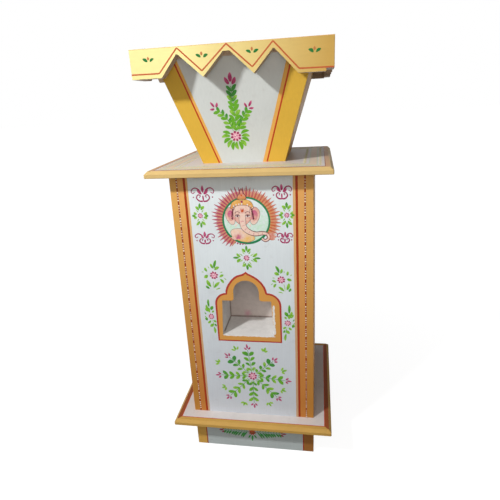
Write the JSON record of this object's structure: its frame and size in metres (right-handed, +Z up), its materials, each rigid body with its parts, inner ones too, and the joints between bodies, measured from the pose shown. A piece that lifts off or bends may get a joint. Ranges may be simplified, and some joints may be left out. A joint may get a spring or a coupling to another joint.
{
  "type": "tulsi vrindavan planter",
  "caption": "Square painted wooden pedestal planter: low foot, hollow column with an arched lamp niche, slabs, and a flared pot with a toothed apron and a lift-out liner.",
  "frame": {"origin": "on the floor, under the middle of the foot", "axes": "+Z up, front with the niche towards -Y, +X to the viewer's right"},
  "size_m": [0.49, 0.49, 1.2015],
  "materials": {
    "white_panel_paint": "satin enamel on board, gold borders",
    "gold_edge_paint": "satin enamel on board",
    "pale_yellow_paint": "satin enamel on board",
    "niche_white_paint": "brushed matt white",
    "bare_board": "unpainted fibreboard",
    "galvanised_sheet": "galvanised",
    "screw_steel": "zinc plated"
  },
  "bodies": {
    "stand": {"apron_back_board": "pale_yellow_paint", "apron_front_board": "pale_yellow_paint", "apron_left_board": "pale_yellow_paint", "apron_right_board": "pale_yellow_paint", "base_slab": "gold_edge_paint", "column_back_panel": "white_panel_paint", "column_batten_back_left": "bare_board", "column_batten_back_right": "bare_board", "column_batten_front_left": "bare_board", "column_batten_front_right": "bare_board", "column_bottom_cleat_left": "bare_board", "column_bottom_cleat_right": "bare_board", "column_bottom_screws": "screw_steel", "column_front_panel": "white_panel_paint", "column_left_panel": "white_panel_paint", "column_right_panel": "white_panel_paint", "column_top_cleat_left": "bare_board", "column_top_cleat_right": "bare_board", "column_top_screws": "screw_steel", "foot_back_board": "white_panel_paint", "foot_block_back_left": "bare_board", "foot_block_back_right": "bare_board", "foot_block_front_left": "bare_board", "foot_block_front_right": "bare_board", "foot_cleat_left": "bare_board", "foot_cleat_right": "bare_board", "foot_front_board": "white_panel_paint", "foot_left_board": "white_panel_paint", "foot_right_board": "white_panel_paint", "foot_screws": "screw_steel", "niche_back_board": "niche_white_paint", "niche_ceiling": "niche_white_paint", "niche_cheek_left": "niche_white_paint", "niche_cheek_right": "niche_white_paint", "niche_floor": "niche_white_paint", "pot_back_wall": "white_panel_paint", "pot_floor": "bare_board", "pot_front_wall": "white_panel_paint", "pot_left_wall": "white_panel_paint", "pot_right_wall": "white_panel_paint", "pot_screws": "screw_steel", "rim_back_rail": "pale_yellow_paint", "rim_front_rail": "pale_yellow_paint", "rim_left_rail": "pale_yellow_paint", "rim_right_rail": "pale_yellow_paint", "top_slab": "gold_edge_paint"},
    "liner": {"soil_liner": "galvanised_sheet"}
  },
  "joints": [
    {"name": "liner_lift", "type": "slide", "parent": "stand", "child": "liner", "axis": [0, 0, 1], "range_m": [0, 0.3]}
  ]
}
